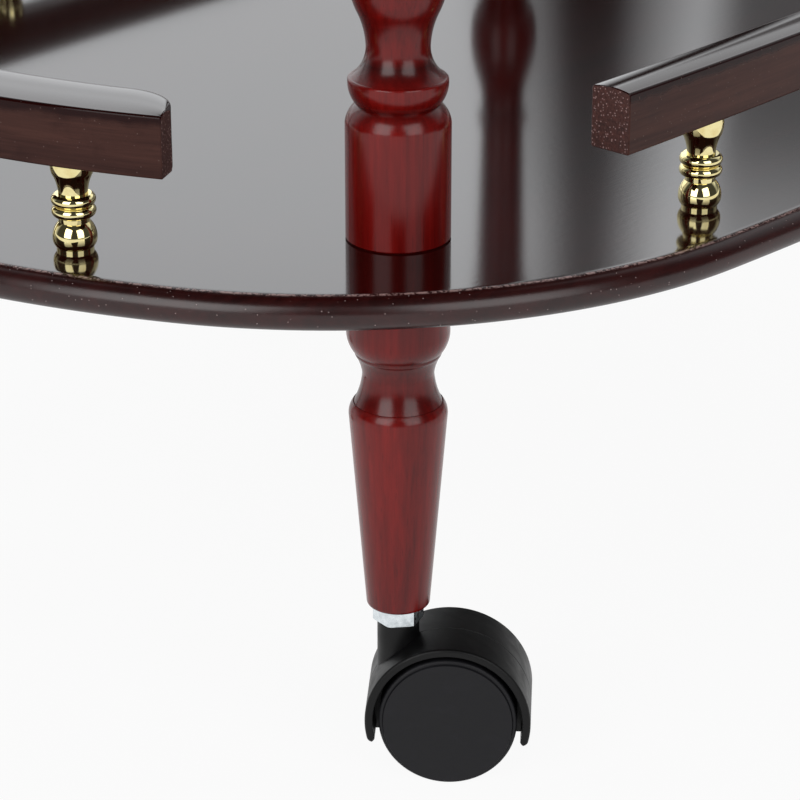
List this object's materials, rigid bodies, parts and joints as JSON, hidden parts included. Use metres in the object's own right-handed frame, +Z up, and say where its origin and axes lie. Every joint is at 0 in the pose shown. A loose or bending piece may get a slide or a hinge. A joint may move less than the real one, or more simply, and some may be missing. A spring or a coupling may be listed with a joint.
{
  "type": "serving trolley",
  "caption": "Two-tier wooden serving trolley with oval-cornered shelves, turned legs, gallery rails on brass spindles and swivelling twin-wheel casters.",
  "frame": {"origin": "on the floor under the middle of the shelves", "axes": "+Z up, +X along the shelves' length, +Y across them"},
  "size_m": [0.73, 0.53, 0.7609],
  "materials": {
    "shelf_lacquer": "high-gloss dark mahogany lacquer",
    "rail_lacquer": "satin dark mahogany lacquer",
    "leg_lacquer": "gloss cherry-red lacquer",
    "polished_brass": "mirror polished",
    "zinc_steel": "bright zinc plate",
    "black_nylon": "fine-textured moulding",
    "black_wheel": "fine-textured moulding"
  },
  "bodies": {
    "frame": {"lower_shelf": "shelf_lacquer", "lower_gallery_screws": "zinc_steel", "lower_front_rail": "rail_lacquer", "lower_front_spindles": "polished_brass", "lower_rear_rail": "rail_lacquer", "lower_rear_spindles": "polished_brass", "lower_left_rail": "rail_lacquer", "lower_left_spindles": "polished_brass", "lower_right_rail": "rail_lacquer", "lower_right_spindles": "polished_brass", "top_shelf": "shelf_lacquer", "top_gallery_screws": "zinc_steel", "top_front_rail": "rail_lacquer", "top_front_spindles": "polished_brass", "top_rear_rail": "rail_lacquer", "top_rear_spindles": "polished_brass", "top_left_rail": "rail_lacquer", "top_left_spindles": "polished_brass", "top_right_rail": "rail_lacquer", "top_right_spindles": "polished_brass", "lower_leg_screws": "zinc_steel", "top_leg_screws": "zinc_steel", "stem_inserts": "zinc_steel", "stem_grip_rings": "zinc_steel", "front_left_foot": "leg_lacquer", "front_left_post": "leg_lacquer", "front_left_finial": "leg_lacquer", "front_left_caster_stem": "zinc_steel", "front_right_foot": "leg_lacquer", "front_right_post": "leg_lacquer", "front_right_finial": "leg_lacquer", "front_right_caster_stem": "zinc_steel", "rear_left_foot": "leg_lacquer", "rear_left_post": "leg_lacquer", "rear_left_finial": "leg_lacquer", "rear_left_caster_stem": "zinc_steel", "rear_right_foot": "leg_lacquer", "rear_right_post": "leg_lacquer", "rear_right_finial": "leg_lacquer", "rear_right_caster_stem": "zinc_steel"},
    "front_left_caster": {"front_left_caster_housing": "black_nylon", "front_left_caster_axle": "zinc_steel"},
    "front_left_left_wheel": {"front_left_caster_left_wheel": "black_wheel"},
    "front_left_right_wheel": {"front_left_caster_right_wheel": "black_wheel"},
    "front_right_caster": {"front_right_caster_housing": "black_nylon", "front_right_caster_axle": "zinc_steel"},
    "front_right_left_wheel": {"front_right_caster_left_wheel": "black_wheel"},
    "front_right_right_wheel": {"front_right_caster_right_wheel": "black_wheel"},
    "rear_left_caster": {"rear_left_caster_housing": "black_nylon", "rear_left_caster_axle": "zinc_steel"},
    "rear_left_left_wheel": {"rear_left_caster_left_wheel": "black_wheel"},
    "rear_left_right_wheel": {"rear_left_caster_right_wheel": "black_wheel"},
    "rear_right_caster": {"rear_right_caster_housing": "black_nylon", "rear_right_caster_axle": "zinc_steel"},
    "rear_right_left_wheel": {"rear_right_caster_left_wheel": "black_wheel"},
    "rear_right_right_wheel": {"rear_right_caster_right_wheel": "black_wheel"}
  },
  "joints": [
    {"name": "front_left_swivel", "type": "hinge", "parent": "frame", "child": "front_left_caster", "pos_m": [-0.2468, -0.16296, 0.05], "axis": [0, 0, 1], "continuous": true},
    {"name": "front_left_left_wheel_roll", "type": "hinge", "parent": "front_left_caster", "child": "front_left_left_wheel", "pos_m": [-0.23591, -0.17817, 0.025], "axis": [0.8131, 0.5821, 0], "continuous": true},
    {"name": "front_left_right_wheel_roll", "type": "hinge", "parent": "front_left_caster", "child": "front_left_right_wheel", "pos_m": [-0.23591, -0.17817, 0.025], "axis": [0.8131, 0.5821, 0], "continuous": true},
    {"name": "front_right_swivel", "type": "hinge", "parent": "frame", "child": "front_right_caster", "pos_m": [0.2468, -0.16296, 0.05], "axis": [0, 0, 1], "continuous": true},
    {"name": "front_right_left_wheel_roll", "type": "hinge", "parent": "front_right_caster", "child": "front_right_left_wheel", "pos_m": [0.26091, -0.17523, 0.025], "axis": [0.6561, 0.7547, 0], "continuous": true},
    {"name": "front_right_right_wheel_roll", "type": "hinge", "parent": "front_right_caster", "child": "front_right_right_wheel", "pos_m": [0.26091, -0.17523, 0.025], "axis": [0.6561, 0.7547, 0], "continuous": true},
    {"name": "rear_left_swivel", "type": "hinge", "parent": "frame", "child": "rear_left_caster", "pos_m": [-0.2468, 0.16296, 0.05], "axis": [0, 0, 1], "continuous": true},
    {"name": "rear_left_left_wheel_roll", "type": "hinge", "parent": "rear_left_caster", "child": "rear_left_left_wheel", "pos_m": [-0.23919, 0.14588, 0.025], "axis": [0.9135, 0.4067, 0], "continuous": true},
    {"name": "rear_left_right_wheel_roll", "type": "hinge", "parent": "rear_left_caster", "child": "rear_left_right_wheel", "pos_m": [-0.23919, 0.14588, 0.025], "axis": [0.9135, 0.4067, 0], "continuous": true},
    {"name": "rear_right_swivel", "type": "hinge", "parent": "frame", "child": "rear_right_caster", "pos_m": [0.2468, 0.16296, 0.05], "axis": [0, 0, 1], "continuous": true},
    {"name": "rear_right_left_wheel_roll", "type": "hinge", "parent": "rear_right_caster", "child": "rear_right_left_wheel", "pos_m": [0.25907, 0.14885, 0.025], "axis": [0.7547, 0.6561, 0], "continuous": true},
    {"name": "rear_right_right_wheel_roll", "type": "hinge", "parent": "rear_right_caster", "child": "rear_right_right_wheel", "pos_m": [0.25907, 0.14885, 0.025], "axis": [0.7547, 0.6561, 0], "continuous": true}
  ]
}
